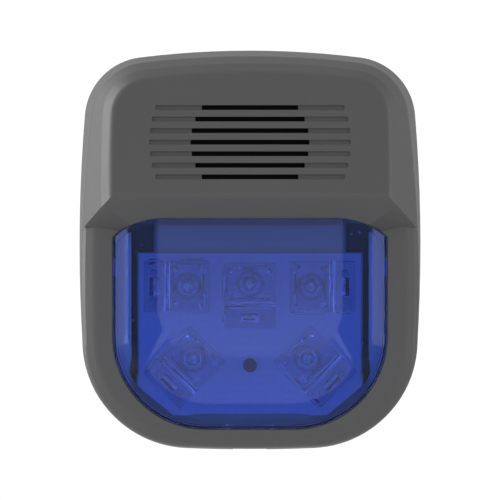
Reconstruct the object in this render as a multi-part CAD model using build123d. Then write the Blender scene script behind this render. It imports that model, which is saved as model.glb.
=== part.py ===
from build123d import *
from math import sqrt, atan, degrees
import os

# Wall-mounted alarm horn with a light beacon. A moulded head hangs on two hinge bars of a
# plate that is screwed to an electrical wall box, and one screw underneath locks it shut.
# Wall plane: Y = 0. The object stands out from the wall towards -Y, and +Z is up.
# A "depth" below is always the distance in front of the wall, in mm.

# ---- overall form of the head -------------------------------------------------------------
HALF_WIDTH = 60.7
TOP_Z = 71.0
BOTTOM_Z = -71.0
DEPTH = 42.0
REAR_DEPTH = 2.5            # back rim of the head stays this far off the wall
STRAIGHT_DEPTH = 8.0        # the skirt is straight up to here, then draws in
EDGE_DEPTH = 26.0           # front edge of the side wall
RING_DEPTH = 28.7           # flat front of the ring round the lens
RING_SLOPE = 5.1            # width of the sloped border of that ring
WALL = 2.4

# ---- hood over the sounder -----------------------------------------------------------------
BROW_Z = 18.7               # the deepest line of the hood
FACE_LEAN = 0.162           # the hood's face loses this much depth per mm of height
BROW_LEAN = 0.9             # and under the brow this much per mm down
FACET_RUN = 1.88            # the hood's flanks rise this much per mm inwards
BAND_WIDTH = 4.2
BAND_DROP = 1.4

# ---- lens -----------------------------------------------------------------------------------
OPEN_HALF = 48.4
OPEN_BOTTOM = -63.2
OPEN_TOP = 11.2
OPEN_CORNER = 32.7
LENS_PLATEAU_DEPTH = 34.7
FLANGE_BACK = 24.5
FLANGE_FRONT = 26.0

# ---- sounder --------------------------------------------------------------------------------
GRILLE_Z = 37.9
SLOT_PITCH = 4.07
SLOT_HEIGHT = 1.7
OPEN_RADIUS = 20.9          # open slots end on this circle
GROOVE_RADIUS = 35.4        # their blind grooves run on to this one
CUP_RADIUS = 22.3

# ---- stack of boards, back to front ---------------------------------------------------------
PLATE_FRONT = 3.0
COVER_BACK = 13.0
COVER_FRONT = 14.6
MAIN_BACK = 17.0
MAIN_FRONT = 18.6
TRAY_BACK = 22.5
TRAY_FRONT = 24.0
LED_FRONT = 25.2

COVER_SCREWS = ((46, 54), (-46, 54), (53.8, -30), (-53.8, -30))
BOARD_SCREWS = ((46, 24), (-46, 24), (33, -48), (-33, -48))
TRAY_SCREWS = ((53.8, -6), (-53.8, -6))

# ---- hinge, lock and wall box ---------------------------------------------------------------
HINGE_Z = 63.5
HINGE_DEPTH = 7.0
BAR_RADIUS = 1.6
HOOK_GAP = 0.08
HOOK_X = 28.0
LOCK_DEPTH = 7.5
BOX_PITCH_Z = 83.3
BOX_PITCH_X = 46.0
BOX_HOLE_RADIUS = 2.2

# ---- terminals ------------------------------------------------------------------------------
TERMINAL_X = (-13.5, -4.5, 4.5, 13.5)
TERMINAL_Z = -17.0


def front(depth):
    """Drawing plane at this depth, facing the viewer."""
    return Plane.XZ.offset(depth)


def slab(face, back, fore):
    """The face as a solid between two depths."""
    return extrude(front(back) * face, fore - back)


def block(x0, x1, back, fore, z0, z1):
    """A box from its limits across, in depth and in height."""
    return Pos((x0 + x1) / 2, -(back + fore) / 2, (z0 + z1) / 2) * Box(x1 - x0, fore - back, z1 - z0)


def rod(x, z, radius, back, fore):
    """A round rod standing out from the wall."""
    return slab(Pos(x, z) * Circle(radius), back, fore)


def both_sides(make, x):
    """The same thing at +x and -x."""
    return make(x) + make(-x)


# ============================ outlines =======================================================
def crowned_outline(half, top, bottom, widest, side_r, top_r, bottom_r, top_corner, low_corner):
    """Four gently bowed edges with rounded corners."""

    def side_x(z):
        return half - side_r + sqrt(side_r**2 - (z - widest) ** 2)

    def meet(end, r):
        x = half
        z = end
        for _ in range(20):
            sag = r - sqrt(r**2 - x**2)
            z = end - sag if end > 0 else end + sag
            x = side_x(z)
        return x, z

    tx, tz = meet(top, top_r)
    bx, bz = meet(bottom, bottom_r)
    middle = (tz + bz) / 2
    face = make_face(
        [
            ThreePointArc((-tx, tz), (0, top), (tx, tz)),
            ThreePointArc((tx, tz), (side_x(middle), middle), (bx, bz)),
            ThreePointArc((bx, bz), (0, bottom), (-bx, bz)),
            ThreePointArc((-bx, bz), (-side_x(middle), middle), (-tx, tz)),
        ]
    )
    sketch = Sketch() + face
    sketch = fillet([v for v in sketch.vertices() if v.Y > 0], top_corner)
    low = [v for v in sketch.vertices() if v.Y < 0.9 * bottom and abs(v.X) > 0.8 * half]
    return fillet(low, low_corner).faces()[0]


def rear_outline(inset=0.0):
    """The head's silhouette, at its back rim."""
    return crowned_outline(
        HALF_WIDTH - inset, TOP_Z - inset, BOTTOM_Z + inset, 1.6, 566, 316, 534, 22.4 - inset, 38.4 - inset
    )


def edge_outline(inset=0.0):
    """The same silhouette where the side wall meets the front."""
    return crowned_outline(59.7 - inset, 68.5 - inset, -70 + inset, -12, 470, 316, 534, 20 - inset, 37.4 - inset)


def lens_section(half, bottom, corner, top=15.0):
    """U shape: straight top, round lower corners."""
    face = Pos(0, (top + bottom) / 2) * Rectangle(2 * half, top - bottom)
    return fillet([v for v in face.vertices() if v.Y < 0], corner).faces()[0]


def opening_outline(inset=0.0):
    """The lens opening: a U closed by a shallow arch under the brow."""
    half = OPEN_HALF - inset
    top = OPEN_TOP - inset
    bottom = OPEN_BOTTOM + inset
    corner = OPEN_CORNER - inset
    side_top = 4.6 - inset
    bend = (28.0, top)
    outline = make_face(
        [
            Line((-half, bottom), (half, bottom)),
            Line((half, bottom), (half, side_top)),
            ThreePointArc((half, side_top), (40.5, side_top + 4.6), bend),
            Line(bend, (-bend[0], top)),
            ThreePointArc((-bend[0], top), (-40.5, side_top + 4.6), (-half, side_top)),
            Line((-half, side_top), (-half, bottom)),
        ]
    )
    sketch = Sketch() + outline
    return fillet([v for v in sketch.vertices() if v.Y < bottom + 1], corner).faces()[0]


# ============================ head: front housing ============================================
def behind_plane(x, z, depth, lean_x, lean_z, inset):
    """Everything behind a plane through (x, z, depth) that gains depth by the two leans."""
    normal = Vector(-lean_x, -1, -lean_z).normalized()
    plane = Plane(origin=(x, -depth, z), z_dir=normal).offset(-inset)
    return plane * Pos(0, 0, -100) * Box(400, 400, 200)


def head_form(inset=0.0):
    """The head as one block; with an inset, the room inside its wall."""
    rear = 0.0 if inset else REAR_DEPTH
    skirt = slab(rear_outline(inset), rear, STRAIGHT_DEPTH)
    side = loft([front(STRAIGHT_DEPTH) * rear_outline(inset), front(EDGE_DEPTH) * edge_outline(inset)], ruled=True)
    ring_front = RING_DEPTH - inset
    ring = loft([front(EDGE_DEPTH) * edge_outline(inset), front(ring_front) * edge_outline(RING_SLOPE + inset)],
                ruled=True)
    hood = extrude(front(EDGE_DEPTH) * edge_outline(inset), 19, taper=degrees(atan(1 / FACET_RUN)))
    hood = hood & behind_plane(0, BROW_Z, DEPTH, 0, -FACE_LEAN, inset)
    hood = hood & behind_plane(0, BROW_Z, DEPTH, 0, BROW_LEAN, inset)
    hood = hood & behind_plane(-51.7, 16.5, 40.5, 0.30, 1.345, inset)
    hood = hood & behind_plane(51.7, 16.5, 40.5, -0.30, 1.345, inset)
    return skirt + side + ring + hood


def at_depth(edge, depth):
    """True for an edge that lies wholly at this depth."""
    box = edge.bounding_box()
    return abs(box.min.Y + depth) < 0.02 and abs(box.max.Y + depth) < 0.02


def hood_face(form, least):
    """The hood's big leaning face."""
    return [f for f in form.faces() if f.area > least and f.center().Y < -35][0]


def softened_form():
    """The head's outside: soft ring crest, bevelled band round the hood's face, rounded edges."""
    form = head_form()
    form = fillet([e for e in form.edges() if at_depth(e, RING_DEPTH) and e.geom_type == GeomType.CIRCLE], 6.0)
    face = hood_face(form, 3000)
    border = [e for e in face.edges() if e.length < 99]
    form = chamfer(border, BAND_DROP, BAND_WIDTH, reference=face)
    inner = hood_face(form, 2500).edges()
    long_edges = [e for e in form.edges() if e.length > 15 and e.center().Y < -28 and e.center().Z > 20]
    outer = [e.center() for e in long_edges if not any(e.is_same(i) for i in inner)]
    form = fillet(inner, 3.0)
    form = fillet([e for e in form.edges() if e.length > 15 and any((e.center() - c).length < 0.5 for c in outer)], 1.2)
    form = fillet([e for e in form.edges() if at_depth(e, EDGE_DEPTH)], 3.0)
    wings = [e for e in form.edges() if e.geom_type == GeomType.LINE and 22 < e.length < 25 and e.center().Y < -32]
    return fillet(wings, 2.5)


def slot(row, radius):
    """Outline of one grille slot; its square ends lie on the given circle."""
    up = row * SLOT_PITCH
    half = sqrt(radius**2 - up**2)
    face = Pos(0, GRILLE_Z + up) * Rectangle(2 * half, SLOT_HEIGHT)
    return fillet(face.vertices(), 0.4)


def grille_cuts():
    """Seven open slots, and the shallow grooves that carry them on to both sides."""
    through = Part()
    grooves = Part()
    for row in range(-3, 4):
        through += slab(slot(row, OPEN_RADIUS), 28, 46)
        grooves += slab(slot(row, GROOVE_RADIUS), 28, 46)
    grooves = grooves - behind_plane(0, BROW_Z, DEPTH, 0, -FACE_LEAN, 0.8)
    return through + grooves


def boss(x, z, back):
    """Screw post from a given depth forward to the front wall."""
    post = rod(x, z, 2.8, back, 41) & head_form(WALL - 0.4)
    return post - rod(x, z, 1.1, back - 1, back + 9)


def lock_pocket():
    """Recess under the head, with a floor the lock screw's washer presses on."""
    walls = block(-7.6, 7.6, REAR_DEPTH, 15.6, -69.5, -64.2)
    room = block(-6, 6, -1, 14, -73, -66.4)
    notch = block(-2.2, 2.2, -1, LOCK_DEPTH, -67, -63) + Pos(0, -LOCK_DEPTH, -65) * Cylinder(2.2, 6)
    return walls, room + notch


def front_housing():
    """Moulded shell of the head."""
    shell = softened_form() - head_form(WALL)
    walls, room = lock_pocket()
    shell = shell + walls - room
    shell = shell - slab(opening_outline(), 20, 46)
    lip = [e for e in shell.edges() if in_opening(e)]
    shell = fillet(lip, 0.5)
    shell = shell - grille_cuts()
    for x, z in COVER_SCREWS:
        shell = shell + boss(x, z, COVER_FRONT)
    for x, z in TRAY_SCREWS:
        shell = shell + boss(x, z, TRAY_FRONT)
    for x, z in BOARD_SCREWS[:2]:
        shell = shell + boss(x, z, MAIN_FRONT)
    return shell


def in_opening(edge):
    """True for the front edges of the lens opening."""
    c = edge.center()
    box = edge.bounding_box()
    across = abs(box.max.X) < OPEN_HALF + 0.1 and abs(box.min.X) < OPEN_HALF + 0.1
    return across and c.Y < -27.5 and c.Y > -36.5 and box.min.Z > OPEN_BOTTOM - 0.1 and box.max.Z < OPEN_TOP + 0.1


# ============================ head: lens and light ===========================================
def lens_stack(inset, drop, base, soft):
    """Tapering body of the lens between its base and its plateau, with a rounded shoulder."""
    low = lens_section(48.1 - 2.0 * inset, -62.9 + 2.0 * inset, 32.4 - 2.0 * inset)
    mid = lens_section(42.0 - inset, -57.0 + inset, 28.0 - inset)
    top = lens_section(32.7 - inset, -37.7 + inset, 17.8 - inset)
    foot = slab(low, base, 28.0 - drop)
    flank = loft([front(28.0 - drop) * low, front(33.5 - drop) * mid], ruled=True)
    crown = loft([front(33.5 - drop) * mid, front(LENS_PLATEAU_DEPTH - drop) * top], ruled=True)
    stack = foot + flank + crown
    shoulder = [e for e in stack.edges() if at_depth(e, 33.5 - drop) and e.center().Z < 14.9]
    return fillet(shoulder, soft)


def lens():
    """Clear blue moulding: flange behind the ring, steep flank, raised flat middle."""
    outside = lens_stack(0, 0, FLANGE_BACK, 8.0)
    outside = fillet([e for e in outside.edges() if at_depth(e, 28.0) and e.center().Z < 14.9], 1.5)
    body = outside & slab(opening_outline(0.3), FLANGE_BACK - 1, 40)
    room = lens_stack(0.8, 1.6, FLANGE_BACK - 2, 6.4) & slab(opening_outline(2.0), FLANGE_BACK - 3, 40)
    flange = slab(lens_section(50.4, -65.0, 34.5, 13.2), FLANGE_BACK, FLANGE_FRONT)
    return body + flange - room


def tray_gaps():
    """Open gaps each side of the board, and beside the shelf, that look into the head."""
    gaps = block(39.9, 42.2, TRAY_BACK - 1, TRAY_FRONT + 1, -48, 9.4)
    gaps = gaps + block(33.9, 42.2, TRAY_BACK - 1, TRAY_FRONT + 1, -0.8, 9.4)
    gaps = gaps & slab(lens_section(45.2, -60.0, 29.4, 13.2), TRAY_BACK - 2, TRAY_FRONT + 2)
    return gaps + mirror(gaps, Plane.YZ)


def light_tray():
    """Grey tray behind the lens that carries the LED board."""
    floor = slab(lens_section(46.6, -61.4, 30.8, 13.2), TRAY_BACK, TRAY_FRONT)
    shelf = block(-33.1, 33.1, TRAY_FRONT, 27.2, 0.9, 10.4) & slab(opening_outline(2.4), TRAY_FRONT, 28)
    ear = block(-56.2, 56.2, TRAY_BACK, TRAY_FRONT, -9.2, -2.8)
    tray = floor + shelf + ear - tray_gaps()
    tray = tray + both_sides(lambda x: rod(x, -48, 2.8, MAIN_FRONT, TRAY_BACK), 33)
    tray = tray + rod(0, -40.7, 2.6, 20.4, TRAY_BACK) - rod(0, -40.7, 0.9, 20, TRAY_FRONT + 1)
    tray = tray - both_sides(lambda x: rod(x, -48, 1.1, MAIN_FRONT - 1, TRAY_BACK + 1), 33)
    tray = tray - both_sides(lambda x: rod(x, -6, 1.6, TRAY_BACK - 1, TRAY_FRONT + 1), 53.8)
    return tray - block(17.5, 34.5, TRAY_BACK - 1, TRAY_FRONT + 1, -6.6, -2.4)


BOARD_OUTLINE = [(-39.3, -1.2), (39.3, -1.2), (39.3, -47.9), (27, -58.1), (-27, -58.1), (-39.3, -47.9)]


def led_board():
    """White aluminium-backed board with cut lower corners."""
    face = make_face(Polyline(*BOARD_OUTLINE, close=True))
    return slab(face, TRAY_FRONT, LED_FRONT) - rod(0, -40.7, 1.3, TRAY_FRONT - 1, LED_FRONT + 1)


# centre across, centre in height, and the way the prism end points, in degrees from +X
OPTICS = {
    "left": (-25.9, -12.9, 180),
    "lower_left": (-23.0, -41.3, 225),
    "centre": (0.0, -16.0, 270),
    "lower_right": (23.1, -41.1, 315),
    "right": (25.5, -12.9, 0),
}


def placed(sketch_or_solid, where):
    """Turn and move something drawn about the Y axis to one optic's place."""
    x, z, angle = OPTICS[where]
    return Pos(x, 0, z) * Rot(0, -angle, 0) * sketch_or_solid


def optic_shape():
    """One clear optic: collimator block with a crossed top, and a lower prism at its outer end."""
    main = block(-11.5, 3.6, LED_FRONT, 31.2, -9.1, 9.1)
    main = chamfer(main.edges().filter_by(Axis.Y), 1.0)
    prism = block(3.6, 11.5, LED_FRONT, 29.4, -8.4, 8.4)
    prism = chamfer([e for e in prism.edges() if e.center().X > 11 and e.center().Y < -29], 1.4)
    cross = Pos(-4, -31.2, 0) * Rot(0, 0, 45) * Box(1.6, 1.6, 30)
    cross = cross + Pos(-4, -31.2, 0) * Rot(45, 0, 0) * Box(30, 1.6, 1.6)
    room = slab(Pos(-4, 0) * Circle(3.2), LED_FRONT - 1, 28.2)
    wells = rod(7.4, 4.2, 1.1, 26.4, 30) + rod(7.4, -4.2, 1.1, 26.4, 30)
    return main - cross - room + prism - wells


def led_shape():
    """LED package with its small dome."""
    base = block(-5.75, -2.25, LED_FRONT, 26.1, -1.75, 1.75)
    dome = rod(-4, 0, 1.4, 26.1, 26.9)
    return base + fillet([e for e in dome.edges() if e.center().Y < -26.5], 0.6)


def round_screw(x, z, radius, head_back, head_fore, shank_radius, tip):
    """Pan-head screw with a cross recess; its tip is at the given depth."""
    head = rod(x, z, radius, min(head_back, head_fore), max(head_back, head_fore))
    outer = -head_fore
    head = fillet([e for e in head.edges() if abs(e.center().Y - outer) < 0.01], 0.4)
    cut = 1.0 if head_fore > head_back else -1.0
    deep = sorted((head_fore, head_fore - cut))
    recess = block(x - 1.3, x + 1.3, deep[0], deep[1], z - 0.3, z + 0.3)
    recess = recess + block(x - 0.3, x + 0.3, deep[0], deep[1], z - 1.3, z + 1.3)
    shank = rod(x, z, shank_radius, min(head_back, tip), max(head_back, tip))
    return head + shank - recess


# ============================ head: sounder ==================================================
def sounder_cup():
    """Round cup behind the grille, its rim following the leaning face."""
    cup = rod(0, GRILLE_Z, CUP_RADIUS, 21, 40) & head_form(WALL + 0.7)
    cup = cup - rod(0, GRILLE_Z, CUP_RADIUS - 1.5, 26.5, 42) - rod(0, GRILLE_Z, CUP_RADIUS - 3, 22.5, 27)
    holes = rod(-3, GRILLE_Z, 1.0, 20, 23) + rod(-15, GRILLE_Z, 1.0, 20, 23)
    return cup - holes - block(-30, 30, 24.4, 42, 10, 16.4)


def sounder_cap():
    """Ring that clamps the piezo plate, with the resonator's hole in the middle."""
    lid = rod(0, GRILLE_Z, 20.7, 26.9, 30.2) - rod(0, GRILLE_Z, 19.2, 26, 28.9)
    return lid - rod(0, GRILLE_Z, 6, 28, 31)


def piezo_leads():
    """Two short leads from the piezo back to the main board."""
    return Compound([rod(-3, GRILLE_Z, 0.5, MAIN_FRONT, 26.2), rod(-15, GRILLE_Z, 0.5, MAIN_FRONT, 26.5)])


def grille_screen():
    """Thin dust screen lying against the back of the grille."""
    sheet = slab(Pos(0, GRILLE_Z) * Circle(22.0), 28, 41)
    sheet = sheet & behind_plane(0, BROW_Z, DEPTH, 0, -FACE_LEAN, WALL) & head_form(WALL)
    return sheet - behind_plane(0, BROW_Z, DEPTH, 0, -FACE_LEAN, WALL + 0.5)


# ============================ head: cover and electronics ====================================
def hook(x):
    """Open hook over a hinge bar, and the arm that carries it."""
    ring = Circle(BAR_RADIUS + HOOK_GAP + 1.5) - Circle(BAR_RADIUS + HOOK_GAP)
    mouth = make_face(Polyline((0, 0), (-5, -6), (3.6, -6), close=True))
    arm = Pos(4.0, 0.5) * Rectangle(4.2, 4.0) - Circle(BAR_RADIUS + HOOK_GAP + 0.6)
    side = Plane(origin=(x - 4, -HINGE_DEPTH, HINGE_Z), x_dir=(0, -1, 0), z_dir=(-1, 0, 0))
    return extrude(side * (ring - mouth + arm), -8)


def rear_cover():
    """Flat back of the head with windows for the switches and contact pins."""
    cover = slab(rear_outline(4.2), COVER_BACK, COVER_FRONT)
    cover = cover - block(-8.4, 8.4, 12, 16, -70, -63.4)
    cover = cover - block(-36.5, -23.5, 12, 16, 17.4, 22.6) - block(23, 33, 12, 16, 16.5, 23.5)
    cover = cover - block(-16.5, 16.5, 12, 16, -9, -4)
    for x, z in COVER_SCREWS:
        cover = cover - rod(x, z, 1.6, 12, 16)
    return cover + both_sides(hook, HOOK_X)


def main_board():
    """Circuit board behind the tray."""
    outline = [(-49, 47), (-40, 47), (-40, 60), (40, 60), (40, 47), (49, 47), (49, -34), (27, -56), (-27, -56),
               (-49, -34)]
    board = slab(make_face(Polyline(*outline, close=True)), MAIN_BACK, MAIN_FRONT)
    for x, z in BOARD_SCREWS:
        board = board - rod(x, z, 1.6, MAIN_BACK - 1, MAIN_FRONT + 1)
    return board


def board_chips():
    """Controller, driver and two small parts, on the board's front."""
    return Compound(
        [
            block(-8, 4, MAIN_FRONT, 20.4, -32, -20),
            block(14, 20, MAIN_FRONT, 20.2, -30, -25),
            block(-26, -20, MAIN_FRONT, 20.8, -30, -22),
            block(12, 16, MAIN_FRONT, 19.8, -18, -15),
        ]
    )


def capacitors():
    """Two electrolytic cans beside the sounder."""
    cans = []
    for z, height in ((40, 10.9), (53, 8.4)):
        can = rod(34, z, 5.0, MAIN_FRONT, MAIN_FRONT + height)
        cans.append(fillet([e for e in can.edges() if e.center().Y < -26], 0.6))
    return Compound(cans)


def inductor_core():
    """Ferrite drum: two flanges on a narrow waist."""
    return rod(-34, 40, 6, MAIN_FRONT, 20.2) + rod(-34, 40, 3, 20.2, 26) + rod(-34, 40, 6, 26, 27.6)


def inductor_winding():
    """Copper winding between the drum's flanges."""
    return rod(-34, 40, 5.4, 20.2, 26) - rod(-34, 40, 3, 20, 27)


def contact_pins():
    """Four pins from the main board that meet the plate's spring contacts."""
    return Compound([rod(x, -6.5, 0.6, 11.4, MAIN_BACK) + rod(x, -6.5, 1.5, 15, MAIN_BACK) for x in TERMINAL_X])


def candela_switch():
    """Body of the brightness slide switch, behind the board."""
    body = block(-38, -22, 14.9, MAIN_BACK, 17, 23)
    return body - block(-35.8, -24.2, 14, 16.5, 18.1, 21.9)


def candela_knob():
    """Its knob, at the lowest of four settings."""
    return block(-35.2, -32.3, 12.2, 16.1, 18.6, 21.4)


def mode_switch():
    """Body of the three-way mode switch."""
    body = block(23.4, 32.6, 14.9, MAIN_BACK, 16.6, 23.4)
    for x in (25.4, 28.0, 30.6):
        body = body - block(x - 0.95, x + 0.95, 14, 16.5, 17.9, 22.1)
    return body


def mode_knob(x):
    """One of its knobs, switched off."""
    return block(x - 0.6, x + 0.6, 13.8, 16.1, 18.3, 20.2)


# ============================ wall plate =====================================================
def hinge_lug(x):
    """Thin upright that carries one end of a hinge bar."""
    profile = [(0, -7.5), (0, -2.5), (5.0, 2.1), (8.9, 1.5), (9.4, -1.0), (7.5, -2.9)]
    side = Plane(origin=(x, 0, HINGE_Z), x_dir=(0, -1, 0), z_dir=(-1, 0, 0))
    return extrude(side * make_face(Polyline(*profile, close=True)), -2)


def hinge_end(x):
    """A hinge bar between its two lugs."""
    bar = Pos(x, -HINGE_DEPTH, HINGE_Z) * Rot(0, 90, 0) * Cylinder(BAR_RADIUS, 14)
    return bar + hinge_lug(x - 7) + hinge_lug(x + 5)


def mounting_plate():
    """Moulded plate that is screwed to the wall box."""
    outline = Sketch() + rear_outline(5.0)
    top_cut = Pos(0, 81) * Rectangle(140, 40)
    lock_cut = Pos(0, -68.6) * Rectangle(19, 10)
    face = outline - top_cut - lock_cut
    plate = slab(face.faces()[0], 0, PLATE_FRONT)
    border = outline - (Sketch() + rear_outline(6.2)) - top_cut - lock_cut
    for piece in border.faces():
        plate = plate + slab(piece, PLATE_FRONT, 4.6)
    plate = plate - slab(fillet((Pos(0, 9) * Rectangle(30, 26)).vertices(), 3), -1, 6)
    for x in (-BOX_PITCH_X / 2, 0, BOX_PITCH_X / 2):
        for z in (-BOX_PITCH_Z / 2, BOX_PITCH_Z / 2):
            plate = plate - rod(x, z, BOX_HOLE_RADIUS, -1, 6)
    plate = plate + both_sides(hinge_end, HOOK_X)
    tab = block(-7, 7, 0, 11.5, -63.6, -60.6)
    rib = block(-7, -5.4, 0, 9, -60.7, -54) + block(5.4, 7, 0, 9, -60.7, -54)
    plate = plate + tab + rib
    return plate - Pos(0, -LOCK_DEPTH, -62) * Cylinder(2.9, 6)


def lock_insert():
    """Brass threaded bush in the plate's bottom tab."""
    return Pos(0, -LOCK_DEPTH, -62.1) * (Cylinder(2.9, 3.0) - Cylinder(1.8, 4))


def lock_washer():
    """Captive washer under the lock screw's head."""
    return Pos(0, -LOCK_DEPTH, -67.3) * (Cylinder(3.8, 1.0) - Cylinder(1.8, 2))


def lock_screw():
    """Lock screw, driven from below."""
    head = Pos(0, -LOCK_DEPTH, -69.1) * Cylinder(3.2, 2.0)
    head = fillet([e for e in head.edges() if e.center().Z < -70], 0.4)
    shank = Pos(0, -LOCK_DEPTH, -62.8) * Cylinder(1.75, 10.6)
    recess = Pos(0, -LOCK_DEPTH, -69.7) * (Box(3.6, 0.7, 1.4) + Box(0.7, 3.6, 1.4))
    return head + shank - recess


def terminal_block():
    """Four open cells in a row, wire holes below and contact slots above."""
    body = block(-19, 19, PLATE_FRONT, 12.2, TERMINAL_Z - 7, TERMINAL_Z + 7)
    for x in TERMINAL_X:
        body = body - block(x - 3.6, x + 3.6, 3.6, 13, TERMINAL_Z - 3.5, TERMINAL_Z + 3.5)
        body = body - block(x - 2.2, x + 2.2, 4.5, 6.9, TERMINAL_Z - 8, TERMINAL_Z - 3)
        body = body - block(x - 1.6, x + 1.6, 6.9, 7.6, TERMINAL_Z - 5.5, TERMINAL_Z + 8)
    return body


def plate_contact(x):
    """Stamped bar through one cell, ending in a raised spring leaf."""
    bar = block(x - 1.6, x + 1.6, 6.9, 7.6, TERMINAL_Z - 5.5, -8.4)
    riser = block(x - 1.6, x + 1.6, 6.9, 11.0, -9.1, -8.4)
    leaf = block(x - 1.6, x + 1.6, 10.3, 11.0, -8.4, -4.4)
    return bar + riser + leaf


def terminal_clamp(x):
    """Rising cage that pulls the wire up against the bar."""
    cage = block(x - 2.8, x + 2.8, 4.0, 8.9, TERMINAL_Z - 2.6, TERMINAL_Z + 2.6)
    cage = cage - block(x - 2.0, x + 2.0, 4.8, 7.9, TERMINAL_Z - 4, TERMINAL_Z + 4)
    return cage - rod(x, TERMINAL_Z, 1.28, 7, 10)


def terminal_screw(x):
    """Clamp screw with a slotted head."""
    head = rod(x, TERMINAL_Z, 2.2, 10.4, 12.0) - block(x - 3, x + 3, 11.2, 13, TERMINAL_Z - 0.35, TERMINAL_Z + 0.35)
    return head + rod(x, TERMINAL_Z, 1.2, 7.95, 10.4)


# ============================ all pieces =====================================================
def make_parts():
    """Every piece by name."""
    parts = {
        "mounting_plate": mounting_plate(),
        "lock_insert": lock_insert(),
        "lock_washer": lock_washer(),
        "lock_screw": lock_screw(),
        "terminal_block": terminal_block(),
        "plate_contacts": Compound([plate_contact(x) for x in TERMINAL_X]),
        "front_housing": front_housing(),
        "lens": lens(),
        "light_tray": light_tray(),
        "led_board": led_board(),
        "led_emitters": Compound([placed(led_shape(), name) for name in OPTICS]),
        "led_board_screw": round_screw(0, -40.7, 2.4, LED_FRONT, 26.9, 0.9, 21.2),
        "sounder_cup": sounder_cup(),
        "sounder_cap": sounder_cap(),
        "piezo_plate": rod(0, GRILLE_Z, 20.6, 26.5, 26.9),
        "piezo_ceramic": rod(0, GRILLE_Z, 12.5, 26.2, 26.5),
        "piezo_leads": piezo_leads(),
        "grille_screen": grille_screen(),
        "rear_cover": rear_cover(),
        "main_board": main_board(),
        "board_chips": board_chips(),
        "capacitors": capacitors(),
        "inductor_core": inductor_core(),
        "inductor_winding": inductor_winding(),
        "link_header": block(18, 34, MAIN_FRONT, TRAY_FRONT, -6.2, -2.8),
        "contact_pins": contact_pins(),
        "candela_switch": candela_switch(),
        "candela_knob": candela_knob(),
        "mode_switch": mode_switch(),
    }
    for name in OPTICS:
        parts["optic_" + name] = placed(optic_shape(), name)
    for number, x in enumerate(TERMINAL_X, 1):
        parts[f"terminal_clamp_{number}"] = terminal_clamp(x)
        parts[f"terminal_screw_{number}"] = terminal_screw(x)
    for number, x in enumerate((25.4, 28.0, 30.6), 1):
        parts[f"mode_knob_{number}"] = mode_knob(x)
    for name, places, seat, tip in (
        ("cover_screws", COVER_SCREWS, COVER_BACK, 21),
        ("tray_screws", TRAY_SCREWS, TRAY_BACK, 25.6),
        ("board_screws", BOARD_SCREWS, MAIN_BACK, 21.5),
    ):
        parts[name] = Compound([round_screw(x, z, 2.6, seat, seat - 1.6, 1.0, tip) for x, z in places])
    return parts


os.makedirs("parts", exist_ok=True)
for node, shape in make_parts().items():
    export_step(shape, f"parts/{node}.step")
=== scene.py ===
import math
import bmesh
import bpy
from mathutils import Matrix, Vector


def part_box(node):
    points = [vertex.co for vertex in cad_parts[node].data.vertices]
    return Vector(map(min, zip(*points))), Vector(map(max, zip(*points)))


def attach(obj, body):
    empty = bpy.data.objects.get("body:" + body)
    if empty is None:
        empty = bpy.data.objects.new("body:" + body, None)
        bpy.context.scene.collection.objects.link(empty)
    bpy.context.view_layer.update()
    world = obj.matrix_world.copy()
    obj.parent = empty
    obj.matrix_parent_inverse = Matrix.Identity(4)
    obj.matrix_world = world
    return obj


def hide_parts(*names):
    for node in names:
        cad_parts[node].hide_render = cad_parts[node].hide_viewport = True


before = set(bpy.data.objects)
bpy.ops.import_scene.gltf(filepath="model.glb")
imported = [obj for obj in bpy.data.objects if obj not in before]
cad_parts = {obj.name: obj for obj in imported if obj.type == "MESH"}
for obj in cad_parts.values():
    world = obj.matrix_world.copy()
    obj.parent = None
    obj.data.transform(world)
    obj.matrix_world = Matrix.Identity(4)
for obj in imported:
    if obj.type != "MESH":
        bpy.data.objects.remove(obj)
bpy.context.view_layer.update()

# ---- Camera -------------------------------------------------------------------------------
# A long lens square to the front of the alarm and level with its middle, so that the outline
# and the deep hood keep their true proportions.
VIEW_WIDTH = 0.178
CAMERA_DISTANCE = 2.4
FILM_WIDTH = 36.0
camera = bpy.data.cameras.new("camera")
camera.sensor_width = FILM_WIDTH
camera.lens = FILM_WIDTH * CAMERA_DISTANCE / VIEW_WIDTH
camera.clip_start = 0.1
camera.clip_end = 40.0
camera_holder = bpy.data.objects.new("camera", camera)
camera_holder.location = (0.0, -CAMERA_DISTANCE - 0.008, 0.0)
camera_holder.rotation_euler = (math.radians(90.0), 0.0, 0.0)
bpy.context.scene.collection.objects.link(camera_holder)
bpy.context.scene.camera = camera_holder
bpy.context.scene.view_settings.view_transform = "Standard"

# ---- Studio -------------------------------------------------------------------------------
# A white room with a bright softbox level with the wall, a pale panel each side for the
# flanks of the lens to mirror, and two in front for its flat middle and lower slope, the
# upper one fading upwards. The pale floor is clear from below, to show the underside.


def softbox(name, place, size, radiance, aim=(0.0, 0.0, 0.0)):
    """A rectangular lamp of even brightness, turned to a point and not seen itself."""
    lamp = bpy.data.lights.new(name, "AREA")
    lamp.shape = "RECTANGLE"
    lamp.size, lamp.size_y = size
    lamp.energy = radiance * math.pi * size[0] * size[1]
    holder = bpy.data.objects.new(name, lamp)
    holder.location = place
    holder.rotation_euler = (Vector(aim) - Vector(place)).to_track_quat("-Z", "Y").to_euler()
    holder.visible_camera = False
    bpy.context.scene.collection.objects.link(holder)
    return lamp


PANEL_Y, PANEL_Z = -0.37, 0.2
softbox("left_softbox", (-1.6, 0.32, 0.6), (0.6, 2.0), 6.8, aim=(0.0, 0.28, 0.1))
softbox("left_panel", (-1.7, PANEL_Y, PANEL_Z), (0.64, 2.2), 2.1, aim=(0.0, PANEL_Y, PANEL_Z))
softbox("right_panel", (1.7, PANEL_Y, PANEL_Z), (0.64, 2.2), 2.1, aim=(0.0, PANEL_Y, PANEL_Z))


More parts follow.
